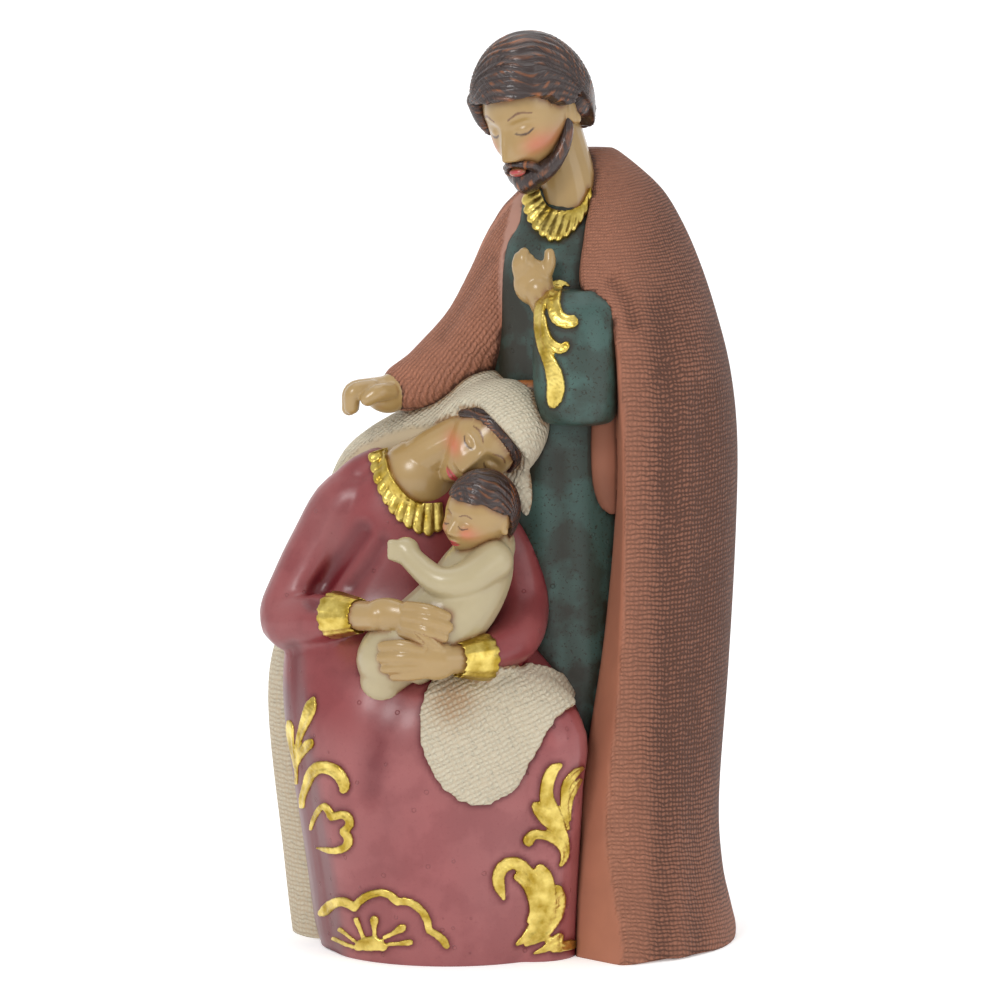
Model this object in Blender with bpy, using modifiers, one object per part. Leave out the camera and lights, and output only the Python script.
"""A holy family statue, cast in painted resin as one piece.

A bearded man in a long mantle stands behind a seated woman in a veil, who holds a child on her
lap. The group has no plinth: the robes run down to a flat underside, on which it stands.

Every figure is laid out in shares, and one share is a two-hundredth of the statue's height. Left
and right are the viewer's, -Y is towards the viewer and +Z is up.
"""

import math

import bmesh
import bpy
import numpy as np
from mathutils import Euler, Matrix, Vector

STATUE_HEIGHT = 0.200
SHARE = STATUE_HEIGHT / 200

# Where the group's middle lies in the layout below, x and y.
GROUP_CENTRE = (0.188, -1.06)

# How finely the clay is fused and how many facets the finished solid keeps.
CLAY_VOXEL = 0.55 * SHARE
SMOOTHING_FACTOR = 0.5
SMOOTHING_ROUNDS = 3
KEPT_FACETS = 9600
FINE_FACTOR = 2e-6

# The forms run a little below the floor, where the underside is cut flat.
FOOT_DEPTH = -4
ROBE_SIDES = 56
ROBE_STEPS = 5
LIMB_STEPS = 4
BALL_SEGMENTS = 36
BALL_RINGS = 24
HEAD_FINENESS = 4

RESIN_COLOUR = (0.36, 0.15, 0.11, 1.0)
RESIN_ROUGHNESS = 0.55

# Robes: height, centre x, centre y, half width, half depth, turn in degrees.
MAN_TUNIC = (
    (FOOT_DEPTH, 16, 6, 22, 20, 0),
    (30, 15, 5, 19, 19, 0),
    (60, 14, 3, 17, 16, 0),
    (95, 14, 1, 16, 14, 0),
    (120, 14, 0, 15.5, 13, 0),
    (140, 14, 0, 15.5, 13, 0),
    (152, 14.5, 2, 14, 12, 0),
    (158, 14.5, 4, 11, 9, 0),
    (163, 15, 5, 8, 7, 0),
)
MAN_MANTLE = (
    (FOOT_DEPTH, 22.2, 1.4, 29, 33, 0),
    (1, 22.3, 0.6, 30.5, 36, 0),
    (7, 22, 0.8, 29.6, 35.4, 0),
    (16, 21.4, 2, 28.3, 33.6, 0),
    (31, 21, 3.6, 28, 31.2, 0),
    (60, 21.2, 5, 29.8, 29.5, 0),
    (88, 21.8, 5, 30.6, 29, 0),
    (110, 22, 5, 30.7, 29.4, 0),
    (126, 21.5, 5, 29.5, 30, 0),
    (140, 20.4, 6, 27, 27.4, 0),
    (151, 19.6, 7.6, 24, 21.4, 0),
    (159, 19.8, 9, 20.1, 16.4, 0),
    (165, 20.3, 10.4, 15.8, 12, 0),
    (170, 20.4, 11.6, 10.4, 8.4, 0),
    (174, 20.6, 12.4, 5, 4.6, 0),
)
# The mantle hangs open in front: height, then x of the edge where it meets the tunic and x and y
# of its outer lip.
MANTLE_OPENING = (
    (-12, 16.6, 25.8, -35.5),
    (16, 17, 26, -32.5),
    (38, 18.5, 25.8, -29),
    (68, 23, 26, -23),
    (99, 25.6, 26.6, -22),
    (121, 25, 25.8, -22),
    (140, 23.4, 23.8, -22),
    (145, 17.6, 18.2, -22),
    (156, 18.5, 19, -20),
    (164, 20, 20.6, -18),
    (182, 23, 23.6, -16),
)
OPENING_BACK = 3
TURNED_DEPTH = 9
# The mantle over his outstretched arm, from the shoulder to the wrist, and as it hangs behind.
MANTLE_ARM = (
    (10.3, 9.5, 153.9, 12),
    (7, 8, 149.3, 11.6),
    (2.4, 4.5, 141.9, 10.6),
    (-4.7, 1, 133, 8.9),
    (-14, -2, 125.6, 7.2),
    (-20.2, -3.4, 122.6, 5.6),
)
MANTLE_FALL = (
    (FOOT_DEPTH, -2, 18, 27, 15, -8),
    (2, -2, 18, 27.5, 15.5, -8),
    (30, -2, 17, 26, 14.5, -8),
    (70, -1, 16, 24, 13, -8),
    (100, 0, 14, 21.6, 12, -8),
    (116, -1, 11.6, 20.6, 12, -8),
    (126, 0, 9, 17.6, 11, -8),
    (136, 3, 8.4, 13, 10, -8),
    (148, 8, 8.4, 9, 9, -8),
)
MAN_SLEEVE = (
    (115.6, 17, -16, 5, 5, 6),
    (116.8, 17, -17.2, 7.8, 7.4, 6),
    (121.6, 16.8, -17.8, 9.1, 8.6, 6),
    (129, 16.6, -18, 9.4, 8.9, 6),
    (137, 16.6, -17.6, 9.1, 8.6, 8),
    (141.6, 16.4, -16.8, 8.4, 7.8, 8),
    (144.8, 15.8, -15.8, 5.6, 5, 10),
)
MAN_NECK = (
    (15, 5, 156, 8.2),
    (15, 4.6, 164, 7.2),
    (13.4, 4.4, 172, 6.6),
    (11, 3, 180, 6.6),
)

WOMAN_SKIRT = (
    (FOOT_DEPTH, -11, -9, 27, 25, 0),
    (1, -11.2, -9.4, 28.4, 26.6, 0),
    (6, -11.4, -9.6, 29.4, 27, 0),
    (20, -12, -10.4, 30.6, 27, 0),
    (36, -13, -11, 32, 26.6, 0),
    (50, -14.4, -10.6, 32.6, 25.6, 0),
    (60, -17, -9, 30.4, 22.6, 0),
    (68, -19.4, -6.4, 27, 18, 0),
    (78, -20, -4.4, 23, 14.6, 0),
    (90, -17.6, -4, 20.6, 12.6, 8),
    (98, -16.6, -4.4, 18, 10.8, 10),
    (104, -17, -5, 13, 9, 10),
    (108, -17.4, -5.6, 7, 6, 10),
)
WOMAN_THIGH = (
    (-10, -8, 54, 12),
    (0, -17, 52.5, 11.4),
    (9, -23, 48, 10),
    (9.2, -23.4, 38, 9.2),
    (8, -22, 16, 9.4),
    (7, -21, -8, 10),
)
WOMAN_RIGHT_ARM = (
    (-25, -4, 97, 8.2),
    (-32.4, -4, 96.3, 8.2),
    (-38, -4.4, 87.6, 7.9),
    (-42.6, -6, 78.6, 7.7),
    (-45.1, -9, 72, 7.4),
    (-39.8, -16, 72.8, 5.8),
    (-33.4, -23, 74.9, 4),
)
WOMAN_LEFT_ARM = (
    (-8, -4, 92, 8.4),
    (0, -6, 89, 7.6),
    (3.6, -8.6, 82, 6.9),
    (4.6, -12.4, 74.4, 6.4),
    (3.2, -20, 69.4, 5.6),
    (-3, -29.6, 66.8, 4),
)
WOMAN_NECK = (
    (-20, -6, 97, 8.5),
    (-19.2, -8.6, 103.4, 6.6),
    (-15, -11, 108, 5.6),
    (-8, -12, 112, 5.6),
)
# Her throat inside the collar: centre and radii.
WOMAN_THROAT = ((-17.6, -9, 103.4), (8.8, 7.8, 8.4))
VEIL_SHOULDER = (
    (-3, -3.6, 117, 9.4),
    (-12.6, -0.6, 113.4, 7.2),
    (-19.6, 1.4, 110.9, 6.4),
    (-26.4, 3, 106.8, 6.2),
    (-30, 4, 101.6, 6.8),
    (-33, 5, 88, 8.2),
)
VEIL_FALL = (
    (FOOT_DEPTH, -23, 2, 22.6, 14.6, -10),
    (2, -23, 2, 23.6, 15.6, -10),
    (18, -24, 2.4, 24.4, 15, -10),
    (52, -27, 3, 24.6, 13, -8),
    (70, -25.6, 4, 22.6, 11.6, -6),
    (88, -21, 4, 18.6, 10.6, 0),
    (102, -17, 3, 14, 9.6, 4),
    (114, -10, 0, 9.6, 8.6, 6),
)
VEIL_END = (
    (4, -11, 106, 2.6),
    (5.6, -10.4, 100, 2.2),
    (7, -9.6, 93.6, 1.3),
)
# The veil's end lies over her knee: its outline seen from the front, x and z.
LAP_CLOTH = (
    (-1.4, 65.4),
    (8, 63),
    (14, 59.6),
    (18, 56.4),
    (14.6, 54.6),
    (10.8, 50.4),
    (7.4, 44),
    (2.4, 37.6),
    (-5.4, 35.2),
    (-12.6, 39.6),
    (-17, 48.6),
    (-16.6, 58),
    (-11, 65),
)
LAP_CLOTH_RISE = 1.2

CHILD_BODY = (
    (-2.6, -23, 90, 6.2),
    (-4.8, -25, 84.6, 8),
    (-9.4, -27, 77.4, 8.8),
    (-17.4, -27.6, 70, 8.8),
    (-23.2, -27.6, 65.4, 8),
    (-25, -27.4, 60.6, 5.2),
)
CHILD_ARM = (
    (-1.4, -29.6, 87.6, 4.6),
    (-7, -33, 84, 3.9),
    (-12.6, -33.6, 83.6, 3.3),
    (-17.6, -30.6, 87, 2.7),
    (-20, -28.4, 89.6, 2.6),
)

# Heads: centre, height from chin to crown, and how far each nods, leans and turns, in degrees.
MAN_HEAD = ((7.2, -1.4, 183.2), 28.6, (20, -8, -36))
WOMAN_HEAD = ((-3, -12.6, 111.9), 24.5, (14, 50, 6))
CHILD_HEAD = ((-4, -26.4, 97.4), 17.4, (12, 14, -42))

FACE_RELIEF = 1.2

# Hairlines in side view, as shares of the head's height: y to the front and z up.
MAN_HAIRLINE = (
    (-1, 0.3),
    (-0.4, 0.26),
    (-0.22, 0.2),
    (-0.12, 0.06),
    (-0.05, 0.02),
    (0.02, 0.06),
    (0.1, 0.06),
    (0.17, -0.1),
    (0.24, -0.28),
    (0.4, -0.38),
    (1, -0.42),
)
CHILD_HAIRLINE = (
    (-1, 0.24),
    (-0.42, 0.22),
    (-0.26, 0.22),
    (-0.14, 0.14),
    (-0.02, 0.1),
    (0.06, 0.08),
    (0.16, -0.1),
    (0.24, -0.28),
    (1, -0.34),
)

# Palms: centre, radii and turn in degrees. Fingers: start, middle and end of each, and radius.
PALMS = {
    "man_left": ((7.4, -14.6, 146.4), (4.3, 2.5, 5), (0, 4, 0)),
    "man_right": ((-25, -5, 120.9), (5, 4.4, 3.9), (0, 20, 0)),
    "woman_right": ((-23.4, -31.6, 75.8), (6.4, 2.8, 4), (0, 4, -24)),
    "woman_left": ((-13.6, -36, 66.9), (5, 2.6, 4.3), (0, 4, 8)),
}
FINGER_RADIUS = 1.35
FIST_RADIUS = 1.9
WRISTS = (
    ((-34, -22.4, 74.8, 3.4), (-26, -30.6, 75.6, 3.2)),
    ((-4, -30.6, 66.8, 3.4), (-12, -35.4, 66.9, 3.1)),
    ((-18, -4, 124, 4.4), (-24.4, -5, 121, 4.1)),
    ((12.4, -16.4, 138, 3.6), (8.6, -15, 144.6, 3.4)),
)
FINGERS = {
    "man_left": (
        ((4.6, -14.8, 147.2), (4.1, -15.4, 150), (4.3, -14.8, 151.8)),
        ((5.7, -15.2, 147.6), (5.2, -15.8, 151), (5.4, -15.2, 152.8)),
        ((6.8, -15, 147.6), (6.4, -15.4, 150), (6.6, -14.8, 151.4)),
        ((9.8, -15, 147), (10.9, -15.2, 150.4), (10.9, -14.8, 152.6)),
    ),
    "man_right": (
        ((-27.6, -7.4, 122.6), (-31.6, -9, 121.8), (-32.2, -9, 118.6)),
        ((-27.6, -4.6, 122.8), (-32, -5.6, 121.8), (-32.8, -5.8, 118)),
        ((-27.6, -2, 122.4), (-31.8, -2.4, 121.2), (-32.2, -2.6, 118)),
        ((-23.6, -8.4, 122), (-26.4, -10.4, 121.8), (-28.6, -11, 120.6)),
    ),
    "woman_right": (
        ((-19.6, -34.4, 78.2), (-15, -36.4, 77.8), (-11.2, -36.2, 76.4)),
        ((-19.6, -35, 76.2), (-15, -37.2, 75.6), (-10.8, -37, 74.2)),
        ((-20, -35, 74.2), (-15.6, -37.4, 73.4), (-11.8, -37.2, 72)),
        ((-20.6, -34.4, 72.6), (-16.8, -36.8, 71.6), (-13.6, -36.8, 70.6)),
    ),
    "woman_left": (
        ((-16.6, -37.2, 69.4), (-20.8, -37, 70.2), (-25, -35.4, 69.8)),
        ((-16.8, -37.4, 67.6), (-21, -37.4, 67.8), (-25.2, -35.8, 67.4)),
        ((-16.8, -37, 65.8), (-20.8, -37, 65.6), (-24.4, -35.4, 65)),
        ((-16.2, -36.4, 64.2), (-19.6, -36.4, 63.8), (-22.4, -35, 63.4)),
        ((-13, -37, 69.8), (-15.2, -37.4, 71.8), (-17.4, -36.8, 73.4)),
    ),
}

# Fluted gold trims: two rings of a flared tube, each a centre and its radii, across and down the
# slope, then the number of flutes.
COLLARS = {
    "man_collar": ((14, -1, 164.6), (6, 8), (12.8, -0.4, 159.6), (9.4, 14.2), 16),
    "woman_collar": ((-17.6, -8, 104.8), (8, 8.8), (-19.4, -7.6, 102), (10.6, 14.8), 18),
    "right_cuff": ((-29.4, -26.6, 75.2), (3.8, 3.8), (-35.9, -20.8, 74.6), (5.9, 5.9), 14),
    "left_cuff": ((-9.4, -34.2, 66.7), (3.8, 3.8), (-2.6, -29.4, 66.7), (5.9, 5.9), 14),
}
# Zones that keep more facets than the robes: a centre and a radius.
FINE_ZONES = (
    ((7, -2, 184), 19),
    ((-4, -12, 112), 16),
    ((-4, -26, 97), 12),
    ((8, -14, 151), 9),
    ((-27, -5, 121), 9),
    ((-22, -32, 72), 16),
    ((13, -4, 161), 14),
    ((-17, -12, 101), 15),
)
FLUTE_DEPTH = 0.35

# Carved creases: the side they lie on, width and depth, then their line in x and z.
CREASES = (
    ("front", 2.2, 1.5, ((-30, 92), (-35, 85), (-40.6, 77.6))),
    ("front", 1.8, 0.7, ((-25, 90), (-28, 85), (-32, 80))),
    ("front", 2.6, 0.8, ((-45, 66), (-44.4, 50), (-42, 34), (-38, 10), (-37, -6))),
    ("front", 4.0, 0.7, ((-21, 62), (-26, 50), (-28, 38))),
    ("front", 1.8, 1.0, ((24.6, 147), (27.6, 143), (29, 138))),
    ("front", 4.0, 0.9, ((35, 142), (37, 100), (36.6, 50), (35, -6))),
    ("front", 3.6, 0.8, ((44, 122), (45, 90), (43, 50), (44, -6))),
    ("front", 2.4, 0.8, ((13, 108), (14.6, 80), (17, 60))),
    ("front", 2.2, 0.8, ((-2, 151), (-8, 142), (-13, 134))),
    ("back", 3.6, 1.3, ((40, 140), (43, 90), (42, 40), (44, -6))),
    ("back", 4.0, 1.5, ((30, 150), (31, 100), (29, 50), (30, -6))),
    ("back", 3.6, 1.3, ((17, 150), (16, 100), (17, 50), (15, -6))),
    ("back", 3.8, 1.4, ((3, 138), (2, 90), (1, 40), (0, -6))),
    ("back", 3.4, 1.2, ((-10, 120), (-13, 80), (-14, 40), (-15, -6))),
    ("back", 3.0, 1.0, ((-30, 90), (-34, 50), (-33, 20), (-32, -6))),
)
# Combed locks: how many to a head's height and how deep, as a share of it.
HAIR_LOCKS = 15
HAIR_LOCK_DEPTH = 0.011


def clear_scene():
    """Remove what the file holds at the start."""
    for obj in list(bpy.data.objects):
        bpy.data.objects.remove(obj)


def smooth_rows(rows, steps):
    """Rows read from a smooth curve through the given rows, with steps to each gap."""
    knots = np.array(rows, float)
    knots = np.vstack([2 * knots[0] - knots[1], knots, 2 * knots[-1] - knots[-2]])
    out = []
    for before, here, there, after in zip(knots, knots[1:], knots[2:], knots[3:]):
        for step in range(steps):
            t = step / steps
            bend = 2 * before - 5 * here + 4 * there - after
            twist = 3 * here - before - 3 * there + after
            out.append(here + 0.5 * t * (there - before + t * (bend + t * twist)))
    return out + [knots[-2]]


def add_rings(name, rings):
    """A closed body through rings of points, with flat ends."""
    bm = bmesh.new()
    loops = [[bm.verts.new(Vector(point) * SHARE) for point in ring] for ring in rings]
    for low, high in zip(loops, loops[1:]):
        for i in range(len(low)):
            bm.faces.new((low[i - 1], low[i], high[i], high[i - 1]))
    bm.faces.new(loops[0])
    bm.faces.new(loops[-1])
    bmesh.ops.recalc_face_normals(bm, faces=bm.faces)
    mesh = bpy.data.meshes.new(name)
    bm.to_mesh(mesh)
    bm.free()
    obj = bpy.data.objects.new(name, mesh)
    bpy.context.scene.collection.objects.link(obj)
    return obj


def add_robe(name, rows):
    """A loft through level ellipses that stands for a robe."""
    rings = []
    for height, x, y, half_width, half_depth, turn in smooth_rows(rows, ROBE_STEPS):
        turning = Matrix.Rotation(math.radians(turn), 2)
        ring = []
        for i in range(ROBE_SIDES):
            angle = math.tau * i / ROBE_SIDES
            flat = turning @ Vector((half_width * math.cos(angle), half_depth * math.sin(angle)))
            ring.append((x + flat.x, y + flat.y, height))
        rings.append(ring)
    return add_rings(name, rings)


def add_ball(name, centre, radii, turn=(0, 0, 0), fineness=1):
    """An ellipsoid, turned about its centre."""
    bm = bmesh.new()
    around, along = BALL_SEGMENTS * fineness, BALL_RINGS * fineness
    bmesh.ops.create_uvsphere(bm, u_segments=around, v_segments=along, radius=1)
    turning = Euler([math.radians(angle) for angle in turn]).to_matrix().to_4x4()
    size = Matrix.Diagonal((*[radius * SHARE for radius in radii], 1))
    bm.transform(Matrix.Translation(Vector(centre) * SHARE) @ turning @ size)
    mesh = bpy.data.meshes.new(name)
    bm.to_mesh(mesh)
    bm.free()
    obj = bpy.data.objects.new(name, mesh)
    bpy.context.scene.collection.objects.link(obj)
    return obj


def add_limb(name, stations):
    """A tapered tube with round ends, through stations of x, y, z and radius."""
    curve = bpy.data.curves.new(name, "CURVE")
    curve.dimensions = "3D"
    curve.bevel_depth = SHARE
    curve.bevel_resolution = 6
    curve.use_fill_caps = True
    spline = curve.splines.new("POLY")
    rows = smooth_rows(stations, LIMB_STEPS)
    spline.points.add(len(rows) - 1)
    for point, (x, y, z, radius) in zip(spline.points, rows):
        point.co = (x * SHARE, y * SHARE, z * SHARE, 1)
        point.radius = radius
    path = bpy.data.objects.new(name + "_path", curve)
    bpy.context.scene.collection.objects.link(path)
    graph = bpy.context.evaluated_depsgraph_get()
    mesh = bpy.data.meshes.new_from_object(path.evaluated_get(graph))
    bpy.data.objects.remove(path)
    obj = bpy.data.objects.new(name, mesh)
    bpy.context.scene.collection.objects.link(obj)
    ends = [add_ball(name + "_end", row[:3], [row[3]] * 3) for row in (rows[0], rows[-1])]
    return [obj, *ends]


def subtract(obj, cutter):
    """Cut one clay form by another, and discard the cutter."""
    cut = obj.modifiers.new("cut", "BOOLEAN")
    cut.operation = "DIFFERENCE"
    cut.solver = "EXACT"
    cut.object = cutter
    bake(obj)
    bpy.data.objects.remove(cutter)


def bake(obj):
    """Make an object's evaluated shape its own mesh."""
    graph = bpy.context.evaluated_depsgraph_get()
    mesh = bpy.data.meshes.new_from_object(obj.evaluated_get(graph))
    obj.modifiers.clear()
    obj.data = mesh


def swell(points, centre, spread, amount):
    """A rounded rise or dent towards the face's front, on points of a head in its own frame."""
    across = (points[:, 0] - centre[0]) / spread[0]
    up = (points[:, 2] - centre[1]) / spread[1]
    facing = np.clip(-points[:, 1] / 0.15, 0, 1)
    points[:, 1] -= FACE_RELIEF * amount * facing * np.exp(-across**2 - up**2)


def head_points(points, childlike):
    """Shape a unit ball's points into a head one unit high that faces -Y."""
    width, depth = (0.41, 0.46) if childlike else (0.335, 0.42)
    points = points * np.array((width, depth, 0.5))
    low = np.clip((0.02 - points[:, 2]) / 0.5, 0, 1)
    low = low * low * (3 - 2 * low)
    points[:, 0] *= 1 - (0.24 if childlike else 0.42) * low
    behind = points[:, 1] > 0
    points[:, 1] *= np.where(behind, 1 - 0.55 * low, 1 + 0.3 * low)
    eye_level = -0.06 if childlike else 0.0
    reach = 0.6 if childlike else 1.0
    for side in (-1, 1):
        swell(points, (side * 0.14, eye_level + 0.01), (0.09, 0.065), -0.06 * reach)
        swell(points, (side * 0.14, eye_level - 0.005), (0.06, 0.038), 0.045)
        swell(points, (side * 0.18, -0.16), (0.1, 0.1), 0.02 if reach == 1 else 0.05)
        swell(points, (side * 0.055, -0.2), (0.034, 0.03), 0.04 * reach)
    swell(points, (0, 0.09), (0.2, 0.04), 0.012 * reach)
    for step in range(6):
        along = step / 5
        level = eye_level + 0.03 - (0.2 + eye_level * 0.8) * along
        swell(points, (0, level), (0.042 + 0.016 * along, 0.04), (0.016 + 0.042 * along) * reach)
    swell(points, (0, -0.19), (0.042, 0.034), 0.035 * reach)
    swell(points, (0, -0.298), (0.08, 0.02), 0.02)
    swell(points, (0, -0.34), (0.06, 0.022), 0.02)
    swell(points, (0, -0.318), (0.09, 0.008), -0.012)
    swell(points, (0, -0.45), (0.09, 0.06), 0.03)
    return points


def head_frame(head):
    """Where a head's own frame lies, one unit of it being the head's height."""
    centre, height, (nod, lean, turn) = head
    turning = Matrix.Rotation(math.radians(turn), 4, "Z")
    leaning = Matrix.Rotation(math.radians(lean), 4, "Y")
    nodding = Matrix.Rotation(math.radians(nod), 4, "X")
    place = Matrix.Translation(Vector(centre) * SHARE)
    return place @ leaning @ turning @ nodding @ Matrix.Scale(height * SHARE, 4)


def add_head(name, head, childlike=False):
    """The skull and face, with ears."""
    obj = add_ball(name, (0, 0, 0), [1 / SHARE] * 3, fineness=HEAD_FINENESS)
    points = np.empty(len(obj.data.vertices) * 3)
    obj.data.vertices.foreach_get("co", points)
    points = head_points(points.reshape(-1, 3), childlike)
    obj.data.vertices.foreach_set("co", points.ravel())
    side = 0.38 if childlike else 0.315
    made = [obj]
    for hand in (-1, 1):
        ear = add_ball(name + "_ear", (0, 0, 0), [1 / SHARE] * 3)
        lie = Euler((math.radians(-12), 0, math.radians(hand * 18))).to_matrix().to_4x4()
        size = Matrix.Diagonal((0.045, 0.08, 0.125, 1))
        ear.data.transform(Matrix.Translation((hand * side, 0.045, -0.05)) @ lie @ size)
        made.append(ear)
    for piece in made:
        piece.data.transform(head_frame(head))
    return made


def add_hair(name, head, radii, hairline):
    """A cap of hair over a head, cut to a hairline that is drawn in side view, y and z."""
    cap = add_ball(name, (0, 0, 0), [radius / SHARE for radius in radii])
    cap.data.transform(Matrix.Translation((0, 0.03, 0.03)))
    below = [(hairline[0][0], -1), *hairline, (hairline[-1][0], -1)]
    rings = [[(side / SHARE, y / SHARE, z / SHARE) for y, z in below] for side in (-1, 1)]
    subtract(cap, add_rings(name + "_line", rings))
    cap.data.transform(head_frame(head))
    return cap


def add_beard(head):
    """Whiskers along the jaw, a full chin and a moustache."""
    jaw = ((0.31, 0.01, -0.06, 0.03), (0.29, -0.06, -0.2, 0.045), (0.22, -0.18, -0.34, 0.06))
    jaw += ((0.11, -0.3, -0.42, 0.09), (0, -0.35, -0.44, 0.1))
    moustache = ((0, -0.465, -0.255, 0.022), (0.07, -0.44, -0.268, 0.03))
    moustache += ((0.12, -0.39, -0.32, 0.03), (0.12, -0.36, -0.38, 0.036))
    made = [add_ball("beard_chin", (0, -0.35 / SHARE, -0.44 / SHARE), [0.115 / SHARE] * 3)]
    for side in (-1, 1):
        for name, line in (("beard_jaw", jaw), ("beard_lip", moustache)):
            rows = [[value / SHARE for value in (side * x, y, z, r)] for x, y, z, r in line]
            made += add_limb(name, rows)
    for piece in made:
        piece.data.transform(head_frame(head))
    return made


def add_trim(name, near, near_radii, far, far_radii, flutes):
    """A flared, fluted ring round a neck or a wrist, with a scalloped far edge."""
    near, far = Vector(near), Vector(far)
    axis = (far - near).normalized()
    across = (Vector((1, 0, 0)) - axis * axis.x).normalized()
    if abs(axis.x) > 0.7:
        across = (Vector((0, 1, 0)) - axis * axis.y).normalized()
    other = axis.cross(across)
    rings = []
    for share, thickness in ((0, -0.9), (0, 0.1), (0.35, 0.7), (0.7, 0.8), (1, 0.6), (1, -1.2)):
        ring = []
        for i in range(flutes * 6):
            angle = math.tau * i / (flutes * 6)
            ridge = abs(math.cos(angle * flutes / 2))
            swing = thickness + FLUTE_DEPTH * (ridge - 0.6) * (2 if share else 1)
            reach = share * (0.88 + 0.14 * ridge)
            wide = near_radii[0] + (far_radii[0] - near_radii[0]) * reach
            deep = near_radii[1] + (far_radii[1] - near_radii[1]) * reach
            middle = near + (far - near) * reach - axis * swing
            outward = across * math.cos(angle) * wide + other * math.sin(angle) * deep
            ring.append(middle + outward)
        rings.append(ring)
    return add_rings(name, rings)


def build_man():
    """The standing man: tunic, open mantle, arms, head and hands."""
    mantle = add_robe("man_mantle", MAN_MANTLE)
    rings = []
    for height, inner, lip, lip_y in smooth_rows(MANTLE_OPENING, ROBE_STEPS):
        far_x = lip + (lip - inner) * 2
        far_y = lip_y - (OPENING_BACK + 12 - lip_y) * 0.6
        ring = ((-90, OPENING_BACK), (-90, -90), (far_x, -90), (far_x, far_y), (lip, lip_y))
        ring += ((inner, lip_y + TURNED_DEPTH), (inner, OPENING_BACK))
        rings.append([(x, y, height) for x, y in ring])
    subtract(mantle, add_rings("opening", rings))
    add_robe("man_tunic", MAN_TUNIC)
    add_robe("mantle_fall", MANTLE_FALL)
    add_limb("mantle_arm", MANTLE_ARM)
    add_robe("man_sleeve", MAN_SLEEVE)
    add_limb("man_neck", MAN_NECK)
    add_head("man_head", MAN_HEAD)
    add_hair("man_hair", MAN_HEAD, (0.45, 0.52, 0.56), MAN_HAIRLINE)
    add_beard(MAN_HEAD)


def build_woman():
    """The seated woman: dress, veil, arms, head and hands."""
    add_robe("woman_dress", WOMAN_SKIRT)
    add_limb("woman_thigh", WOMAN_THIGH)
    add_limb("woman_right_arm", WOMAN_RIGHT_ARM)
    add_limb("woman_left_arm", WOMAN_LEFT_ARM)
    add_limb("woman_neck", WOMAN_NECK)
    add_ball("woman_throat", *WOMAN_THROAT)
    add_head("woman_head", WOMAN_HEAD)
    hairline = ((-1, 0.27), (-0.4, 0.24), (-0.24, 0.14), (-0.14, 0.01), (0, -0.04), (1, -0.06))
    add_hair("woman_hair", WOMAN_HEAD, (0.37, 0.45, 0.53), hairline)
    veil_edge = ((-1, 0.36), (-0.4, 0.32), (-0.2, 0.23), (-0.06, 0.0), (0.06, -0.3), (0.3, -0.9))
    add_hair("veil_hood", WOMAN_HEAD, (0.46, 0.53, 0.6), veil_edge)
    add_limb("veil_shoulder", VEIL_SHOULDER)
    add_robe("veil_fall", VEIL_FALL)
    add_limb("veil_end", VEIL_END)


def build_child():
    """The sleeping child: a wrapped body, one arm and a head."""
    add_limb("child_body", CHILD_BODY)
    add_limb("child_arm", CHILD_ARM)
    add_ball("child_fist", CHILD_ARM[-1][:3], (3, 2.8, 3))
    add_head("child_head", CHILD_HEAD, childlike=True)
    add_hair("child_hair", CHILD_HEAD, (0.45, 0.5, 0.53), CHILD_HAIRLINE)


def build_hands():
    """The palms and fingers of the man and the woman."""
    for owner, (centre, radii, turn) in PALMS.items():
        add_ball(owner + "_palm", centre, radii, turn)
        for points in FINGERS[owner]:
            radius = FIST_RADIUS if owner == "man_right" else FINGER_RADIUS
            add_limb(owner + "_finger", [(*point, radius) for point in points])
    for line in WRISTS:
        add_limb("wrist", line)


def inside_outline(points, outline):
    """Which points, x and z, lie inside a closed outline."""
    corners = [row for row in smooth_rows([*outline, outline[0]], 6)]
    inside = np.zeros(len(points), bool)
    for (x1, z1), (x2, z2) in zip(corners, corners[1:]):
        crosses = (z1 > points[:, 1]) != (z2 > points[:, 1])
        at = x1 + (points[:, 1] - z1) * (x2 - x1) / (z2 - z1 + 1e-12)
        inside ^= crosses & (points[:, 0] < at)
    return inside


def line_distance(points, line):
    """How far each point, x and z, lies from a smooth line."""
    nearest = np.full(len(points), 1e9)
    stops = np.array(smooth_rows(line, 5))
    for start, end in zip(stops, stops[1:]):
        along = np.clip((points - start) @ (end - start) / ((end - start) @ (end - start)), 0, 1)
        gap = np.hypot(*(points - start - along[:, None] * (end - start)).T)
        nearest = np.minimum(nearest, gap)
    return nearest


def in_hair(local, line, side_reach):
    """Which points of a head's own frame lie in its hair, above the hairline in side view."""
    ends = [(-2, line[0][1]), *line, (2, line[-1][1])]
    floor = np.interp(local[:, 1], [y for y, z in ends], [z for y, z in ends])
    near = np.linalg.norm(local / (side_reach, side_reach + 0.07, side_reach + 0.1), axis=1) < 1
    return near & (local[:, 2] > floor - 0.03)


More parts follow.
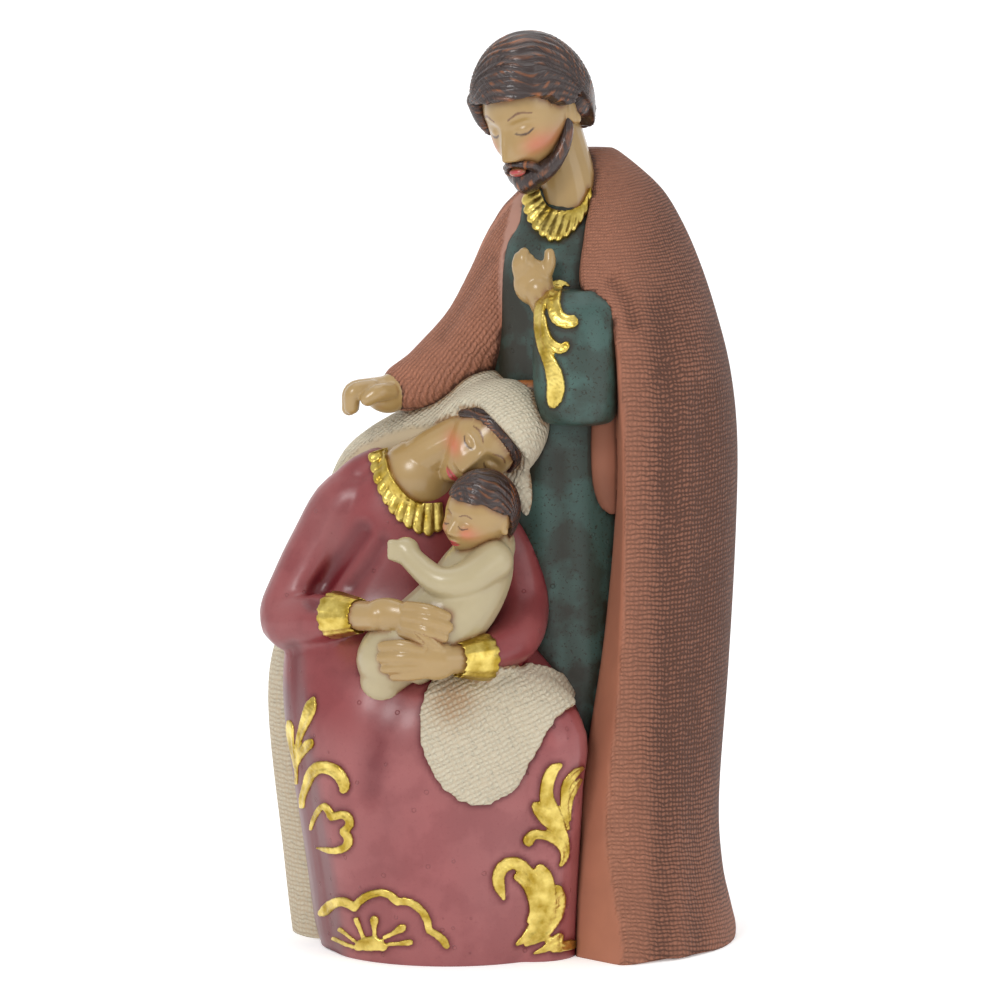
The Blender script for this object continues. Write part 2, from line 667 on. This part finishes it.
def carve(mesh):
    """Carve the cloth over the knee, the robes' creases and the combed hair."""
    points = np.empty(len(mesh.vertices) * 3)
    normals = np.empty(len(mesh.vertices) * 3)
    mesh.vertices.foreach_get("co", points)
    mesh.vertices.foreach_get("normal", normals)
    points, normals = points.reshape(-1, 3) / SHARE, normals.reshape(-1, 3)
    flat = points[:, (0, 2)]
    rise = np.zeros(len(points))
    cloth = inside_outline(flat, LAP_CLOTH) & (normals[:, 1] < 0.1) & (points[:, 1] < -8)
    rise[cloth] += LAP_CLOTH_RISE
    for side, width, depth, line in CREASES:
        facing = np.clip(-normals[:, 1] if side == "front" else normals[:, 1], 0, 0.5) * 2
        rise -= facing * depth * np.exp(-((line_distance(flat, line) / width) ** 2))
    for head, line, reach in ((MAN_HEAD, MAN_HAIRLINE, 0.46), (CHILD_HEAD, CHILD_HAIRLINE, 0.5)):
        into = np.array(head_frame(head).inverted())
        local = points * SHARE @ into[:3, :3].T + into[:3, 3]
        hair = in_hair(local, line, reach)
        comb = local[:, 2] + 0.45 * local[:, 0] + 0.05 * np.sin(9 * local[:, 0] + 4 * local[:, 1])
        locks = np.cos(math.tau * HAIR_LOCKS * comb) * HAIR_LOCK_DEPTH * head[1]
        rise[hair] += locks[hair]
    points += normals * rise[:, None]
    mesh.vertices.foreach_set("co", (points * SHARE).ravel())
    mesh.update()


def cast(name):
    """Fuse all the clay into one closed solid with a flat underside."""
    whole = bmesh.new()
    graph = bpy.context.evaluated_depsgraph_get()
    for obj in list(bpy.context.scene.collection.objects):
        mesh = bpy.data.meshes.new_from_object(obj.evaluated_get(graph))
        mesh.transform(obj.matrix_world)
        whole.from_mesh(mesh)
        bpy.data.objects.remove(obj)
    bmesh.ops.remove_doubles(whole, verts=whole.verts, dist=0.001 * SHARE)
    mesh = bpy.data.meshes.new(name)
    whole.to_mesh(mesh)
    whole.free()
    statue = bpy.data.objects.new(name, mesh)
    group = bpy.data.collections.new("statue")
    bpy.context.scene.collection.children.link(group)
    group.objects.link(statue)
    remesh = statue.modifiers.new("fuse", "REMESH")
    remesh.mode = "VOXEL"
    remesh.voxel_size = CLAY_VOXEL
    smooth = statue.modifiers.new("smooth", "SMOOTH")
    smooth.factor = SMOOTHING_FACTOR
    smooth.iterations = SMOOTHING_ROUNDS
    bake(statue)
    carve(statue.data)
    facets = statue.modifiers.new("facets", "DECIMATE")
    fine = statue.vertex_groups.new(name="fine")
    for vertex in statue.data.vertices:
        for centre, radius in FINE_ZONES:
            if (vertex.co - Vector(centre) * SHARE).length < radius * SHARE:
                fine.add([vertex.index], 0.5, "REPLACE")
    facets.vertex_group = "fine"
    facets.invert_vertex_group = True
    facets.vertex_group_factor = FINE_FACTOR
    facets.ratio = KEPT_FACETS / (2 * len(statue.data.polygons))
    facets.use_collapse_triangulate = True
    bake(statue)
    cut_underside(statue.data)
    return statue


def cut_underside(mesh):
    """Cut the robes off level with the floor, close the cut and centre the group on the origin."""
    bm = bmesh.new()
    bm.from_mesh(mesh)
    everything = bm.verts[:] + bm.edges[:] + bm.faces[:]
    bmesh.ops.bisect_plane(bm, geom=everything, plane_co=(0, 0, 0), plane_no=(0, 0, -1), clear_outer=True)
    bmesh.ops.holes_fill(bm, edges=[edge for edge in bm.edges if edge.is_boundary], sides=0)
    bmesh.ops.translate(bm, verts=bm.verts, vec=Vector((*GROUP_CENTRE, 0)) * -SHARE)
    bm.to_mesh(mesh)
    bm.free()


def resin():
    """The painted resin's mean colour."""
    material = bpy.data.materials.new("painted_resin")
    material.use_nodes = True
    shader = material.node_tree.nodes["Principled BSDF"]
    shader.inputs["Base Color"].default_value = RESIN_COLOUR
    shader.inputs["Roughness"].default_value = RESIN_ROUGHNESS
    shader.inputs["Metallic"].default_value = 0.0
    return material


def main():
    clear_scene()
    build_man()
    build_woman()
    build_child()
    build_hands()
    for name, row in COLLARS.items():
        add_trim(name, *row)
    statue = cast("holy_family")
    statue.data.materials.append(resin())


main()
